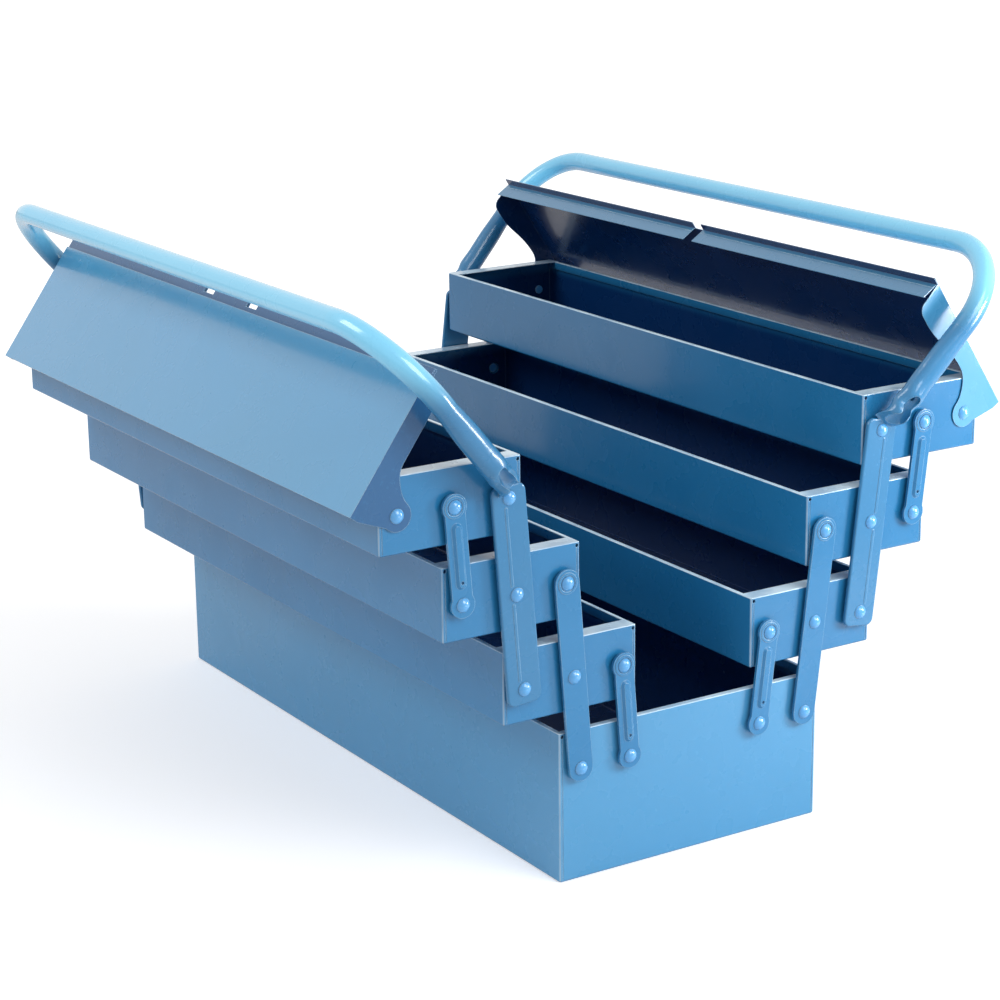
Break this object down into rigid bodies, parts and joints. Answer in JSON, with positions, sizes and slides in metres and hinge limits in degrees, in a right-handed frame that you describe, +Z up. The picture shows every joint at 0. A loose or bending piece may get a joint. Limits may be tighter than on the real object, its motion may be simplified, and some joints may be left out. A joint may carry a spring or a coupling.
{
  "type": "cantilever tool box",
  "caption": "Folding steel tool box: a deep base, tiers of trays that spread apart on links, hinged lids and a pair of tube handles.",
  "frame": {"origin": "centre of the base tray's underside, on the surface that the box stands on", "axes": "+X along the box towards its front end, +Y across towards the right trays, +Z up; rest pose is spread open with both lids up"},
  "size_m": [0.5502, 0.4834, 0.3669],
  "materials": {
    "box_enamel": "gloss blue enamel on folded sheet steel",
    "lid_enamel": "gloss blue enamel on folded sheet steel",
    "handle_enamel": "gloss blue enamel on steel tube",
    "link_enamel": "gloss blue enamel on flat steel bar",
    "rivet_enamel": "gloss blue enamel on steel rivet heads, worn bright"
  },
  "bodies": {
    "base": {"base_tray": "box_enamel", "base_rivets": "rivet_enamel"},
    "left_lower_long_bars": {"left_front_lower_long_link": "link_enamel", "left_rear_lower_long_link": "link_enamel"},
    "left_lower_short_bars": {"left_front_lower_short_link": "link_enamel", "left_rear_lower_short_link": "link_enamel"},
    "left_upper_short_bars": {"left_front_upper_short_link": "link_enamel", "left_rear_upper_short_link": "link_enamel"},
    "left_low_tray": {"left_tray_1": "box_enamel", "left_tray_1_rivets": "rivet_enamel"},
    "left_middle_tray": {"left_tray_2": "box_enamel", "left_tray_2_rivets": "rivet_enamel"},
    "left_top_tray": {"left_tray_3": "box_enamel", "left_tray_3_rivets": "rivet_enamel", "left_lid_pivot_rivets": "rivet_enamel"},
    "left_handle_frame": {"left_handle": "handle_enamel"},
    "left_lid_leaf": {"left_lid": "lid_enamel"},
    "right_lower_long_bars": {"right_front_lower_long_link": "link_enamel", "right_rear_lower_long_link": "link_enamel"},
    "right_lower_short_bars": {"right_front_lower_short_link": "link_enamel", "right_rear_lower_short_link": "link_enamel"},
    "right_upper_short_bars": {"right_front_upper_short_link": "link_enamel", "right_rear_upper_short_link": "link_enamel"},
    "right_low_tray": {"right_tray_1": "box_enamel", "right_tray_1_rivets": "rivet_enamel"},
    "right_middle_tray": {"right_tray_2": "box_enamel", "right_tray_2_rivets": "rivet_enamel"},
    "right_top_tray": {"right_tray_3": "box_enamel", "right_tray_3_rivets": "rivet_enamel", "right_lid_pivot_rivets": "rivet_enamel"},
    "right_handle_frame": {"right_handle": "handle_enamel"},
    "right_lid_leaf": {"right_lid": "lid_enamel"}
  },
  "joints": [
    {"name": "left_fold", "type": "hinge", "parent": "base", "child": "left_lower_long_bars", "pos_m": [0, -0.08575, 0.074], "axis": [-1, 0, 0], "range_deg": [0, 41.9]},
    {"name": "left_lower_short_swing", "type": "hinge", "parent": "base", "child": "left_lower_short_bars", "pos_m": [0, -0.04965, 0.074], "axis": [-1, 0, 0], "range_deg": [0, 41.9]},
    {"name": "left_low_tray_level", "type": "hinge", "parent": "left_lower_long_bars", "child": "left_low_tray", "pos_m": [0, -0.09041, 0.13324], "axis": [-1, 0, 0], "range_deg": [-41.9, 0]},
    {"name": "left_middle_tray_level", "type": "hinge", "parent": "left_lower_long_bars", "child": "left_middle_tray", "pos_m": [0, -0.09507, 0.19248], "axis": [-1, 0, 0], "range_deg": [-41.9, 0]},
    {"name": "left_handle_swing", "type": "hinge", "parent": "left_low_tray", "child": "left_handle_frame", "pos_m": [0, -0.12651, 0.13324], "axis": [-1, 0, 0], "range_deg": [0, 41.9]},
    {"name": "left_top_tray_level", "type": "hinge", "parent": "left_handle_frame", "child": "left_top_tray", "pos_m": [0, -0.13584, 0.25172], "axis": [-1, 0, 0], "range_deg": [-41.9, 0]},
    {"name": "left_upper_short_swing", "type": "hinge", "parent": "left_middle_tray", "child": "left_upper_short_bars", "pos_m": [0, -0.16727, 0.19248], "axis": [-1, 0, 0], "range_deg": [0, 41.9]},
    {"name": "left_lid_turn", "type": "hinge", "parent": "left_top_tray", "child": "left_lid_leaf", "pos_m": [0, -0.20804, 0.25172], "axis": [-1, 0, 0], "range_deg": [0, 54.5]},
    {"name": "right_fold", "type": "hinge", "parent": "base", "child": "right_lower_long_bars", "pos_m": [0, 0.08575, 0.074], "axis": [1, 0, 0], "range_deg": [0, 44.2]},
    {"name": "right_lower_short_swing", "type": "hinge", "parent": "base", "child": "right_lower_short_bars", "pos_m": [0, 0.04965, 0.074], "axis": [1, 0, 0], "range_deg": [0, 44.2]},
    {"name": "right_low_tray_level", "type": "hinge", "parent": "right_lower_long_bars", "child": "right_low_tray", "pos_m": [0, 0.09279, 0.13301], "axis": [1, 0, 0], "range_deg": [-44.2, 0]},
    {"name": "right_middle_tray_level", "type": "hinge", "parent": "right_lower_long_bars", "child": "right_middle_tray", "pos_m": [0, 0.09982, 0.19201], "axis": [1, 0, 0], "range_deg": [-44.2, 0]},
    {"name": "right_handle_swing", "type": "hinge", "parent": "right_low_tray", "child": "right_handle_frame", "pos_m": [0, 0.12889, 0.13301], "axis": [1, 0, 0], "range_deg": [0, 44.2]},
    {"name": "right_top_tray_level", "type": "hinge", "parent": "right_handle_frame", "child": "right_top_tray", "pos_m": [0, 0.14296, 0.25101], "axis": [1, 0, 0], "range_deg": [-44.2, 0]},
    {"name": "right_upper_short_swing", "type": "hinge", "parent": "right_middle_tray", "child": "right_upper_short_bars", "pos_m": [0, 0.17202, 0.19201], "axis": [1, 0, 0], "range_deg": [0, 44.2]},
    {"name": "right_lid_turn", "type": "hinge", "parent": "right_top_tray", "child": "right_lid_leaf", "pos_m": [0, 0.21516, 0.25101], "axis": [1, 0, 0], "range_deg": [0, 56.5]}
  ],
  "couplings": [
    {"joint": "left_lower_short_swing", "follows": "left_fold", "ratio": 1},
    {"joint": "left_low_tray_level", "follows": "left_fold", "ratio": -1},
    {"joint": "left_middle_tray_level", "follows": "left_fold", "ratio": -1},
    {"joint": "left_handle_swing", "follows": "left_fold", "ratio": 1},
    {"joint": "left_top_tray_level", "follows": "left_fold", "ratio": -1},
    {"joint": "left_upper_short_swing", "follows": "left_fold", "ratio": 1},
    {"joint": "right_lower_short_swing", "follows": "right_fold", "ratio": 1},
    {"joint": "right_low_tray_level", "follows": "right_fold", "ratio": -1},
    {"joint": "right_middle_tray_level", "follows": "right_fold", "ratio": -1},
    {"joint": "right_handle_swing", "follows": "right_fold", "ratio": 1},
    {"joint": "right_top_tray_level", "follows": "right_fold", "ratio": -1},
    {"joint": "right_upper_short_swing", "follows": "right_fold", "ratio": 1}
  ]
}
